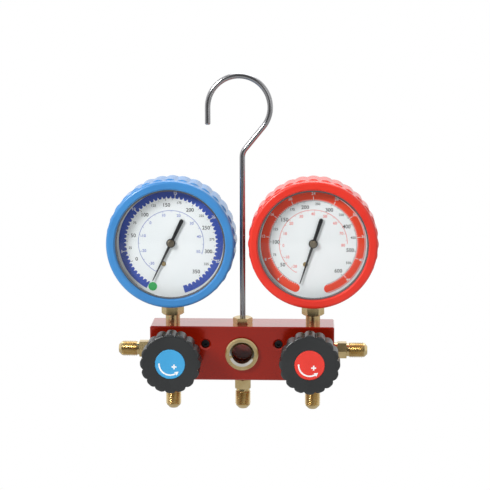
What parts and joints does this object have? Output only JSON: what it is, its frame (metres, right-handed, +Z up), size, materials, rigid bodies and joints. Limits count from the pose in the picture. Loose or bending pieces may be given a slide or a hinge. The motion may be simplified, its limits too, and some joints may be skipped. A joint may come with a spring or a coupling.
{
  "type": "refrigerant manifold gauge",
  "caption": "Refrigerant manifold with a low and a high pressure dial gauge, hand valves, sight glass, flare ports and a swivel hanging hook.",
  "frame": {"origin": "under the crown of the hook, on the shank's axis, where the set hangs on a rail", "axes": "+Z up along the hook's shank, +X towards the high-side gauge on the user's right, -Y towards the user, out of the dials"},
  "size_m": [0.1926, 0.0619, 0.2415],
  "materials": {
    "anodised_block": "red anodised, glossy",
    "brass": "turned, bright",
    "chrome": "polished plating",
    "steel": "machined",
    "bronze": "phosphor bronze, drawn",
    "case_steel": "black paint, satin",
    "knob_plastic": "moulded nylon, fine grain",
    "low_badge": "blue, glossy",
    "high_badge": "red, glossy",
    "low_boot_rubber": "blue moulded rubber, satin",
    "high_boot_rubber": "red moulded rubber, satin",
    "clear_lens": "clear, polished",
    "sight_lens": "clear, polished",
    "dial_paint": "white enamel, printed scale",
    "pointer_paint": "black, satin",
    "seal_rubber": "black, matt",
    "sealing_plastic": "white PTFE"
  },
  "bodies": {
    "manifold": {"blanking_screws": "steel", "bonnet_o_rings": "seal_rubber", "case_screws": "steel", "centre_port": "brass", "high_bourdon_tube": "bronze", "high_calibration_screw": "brass", "high_gauge_bezel": "chrome", "high_gauge_boot": "high_boot_rubber", "high_gauge_case": "case_steel", "high_gauge_dial": "dial_paint", "high_gauge_lens": "clear_lens", "high_gauge_socket": "brass", "high_gland_nut": "brass", "high_hairspring": "bronze", "high_movement_plates": "brass", "high_side_port": "brass", "high_stem_packing": "sealing_plastic", "high_valve_bonnet": "brass", "hook_bush": "brass", "left_parking_post": "brass", "lens_gaskets": "seal_rubber", "low_bourdon_tube": "bronze", "low_calibration_screw": "brass", "low_gauge_bezel": "chrome", "low_gauge_boot": "low_boot_rubber", "low_gauge_case": "case_steel", "low_gauge_dial": "dial_paint", "low_gauge_lens": "clear_lens", "low_gauge_socket": "brass", "low_gland_nut": "brass", "low_hairspring": "bronze", "low_movement_plates": "brass", "low_side_port": "brass", "low_stem_packing": "sealing_plastic", "low_valve_bonnet": "brass", "manifold_body": "anodised_block", "movement_screws": "steel", "right_parking_post": "brass", "sight_glass_lens": "sight_lens", "sight_glass_o_ring": "seal_rubber", "sight_glass_ring": "brass"},
    "hook_arm": {"hook": "chrome"},
    "low_valve_seal": {"low_valve_disc": "sealing_plastic"},
    "low_knob_and_stem": {"low_knob": "knob_plastic", "low_knob_badge": "low_badge", "low_knob_screw": "steel", "low_valve_stem": "steel"},
    "low_sector": {"low_sector_gear": "brass"},
    "low_pointer_arbor": {"low_pointer": "pointer_paint", "low_pointer_pinion": "steel"},
    "low_link": {"low_movement_link": "brass"},
    "high_valve_seal": {"high_valve_disc": "sealing_plastic"},
    "high_knob_and_stem": {"high_knob": "knob_plastic", "high_knob_badge": "high_badge", "high_knob_screw": "steel", "high_valve_stem": "steel"},
    "high_sector": {"high_sector_gear": "brass"},
    "high_pointer_arbor": {"high_pointer": "pointer_paint", "high_pointer_pinion": "steel"},
    "high_link": {"high_movement_link": "brass"}
  },
  "joints": [
    {"name": "hook_swivel", "type": "hinge", "parent": "manifold", "child": "hook_arm", "pos_m": [0, 0, -0.1746], "axis": [0, 0, 1], "continuous": true},
    {"name": "low_valve_travel", "type": "slide", "parent": "manifold", "child": "low_valve_seal", "axis": [0, -1, 0], "range_m": [0, 0.003]},
    {"name": "low_knob_turn", "type": "hinge", "parent": "low_valve_seal", "child": "low_knob_and_stem", "pos_m": [-0.0483, 0, -0.1941], "axis": [0, -1, 0], "range_deg": [0, 1080]},
    {"name": "low_sector_swing", "type": "hinge", "parent": "manifold", "child": "low_sector", "pos_m": [-0.0503, 0, -0.1316], "axis": [0, 1, 0], "range_deg": [-39.75, 0], "stiffness_Nm_per_rad": 0.2},
    {"name": "low_pointer_turn", "type": "hinge", "parent": "manifold", "child": "low_pointer_arbor", "pos_m": [-0.0503, 0, -0.1154], "axis": [0, 1, 0], "range_deg": [0, 318]},
    {"name": "low_link_swing", "type": "hinge", "parent": "low_sector", "child": "low_link", "pos_m": [-0.04808, 0, -0.13771], "axis": [0, 1, 0], "range_deg": [0, 39.75]},
    {"name": "high_valve_travel", "type": "slide", "parent": "manifold", "child": "high_valve_seal", "axis": [0, -1, 0], "range_m": [0, 0.003]},
    {"name": "high_knob_turn", "type": "hinge", "parent": "high_valve_seal", "child": "high_knob_and_stem", "pos_m": [0.0483, 0, -0.1941], "axis": [0, -1, 0], "range_deg": [0, 1080]},
    {"name": "high_sector_swing", "type": "hinge", "parent": "manifold", "child": "high_sector", "pos_m": [0.0503, 0, -0.1316], "axis": [0, 1, 0], "range_deg": [-40.88, 0], "stiffness_Nm_per_rad": 0.2},
    {"name": "high_pointer_turn", "type": "hinge", "parent": "manifold", "child": "high_pointer_arbor", "pos_m": [0.0503, 0, -0.1154], "axis": [0, 1, 0], "range_deg": [0, 327]},
    {"name": "high_link_swing", "type": "hinge", "parent": "high_sector", "child": "high_link", "pos_m": [0.05252, 0, -0.13771], "axis": [0, 1, 0], "range_deg": [0, 40.88]}
  ],
  "couplings": [
    {"joint": "low_valve_travel", "follows": "low_knob_turn", "m_per_rad": 0.00015915},
    {"joint": "low_pointer_turn", "follows": "low_sector_swing", "ratio": -8},
    {"joint": "low_link_swing", "follows": "low_sector_swing", "ratio": -1},
    {"joint": "high_valve_travel", "follows": "high_knob_turn", "m_per_rad": 0.00015915},
    {"joint": "high_pointer_turn", "follows": "high_sector_swing", "ratio": -8},
    {"joint": "high_link_swing", "follows": "high_sector_swing", "ratio": -1}
  ]
}
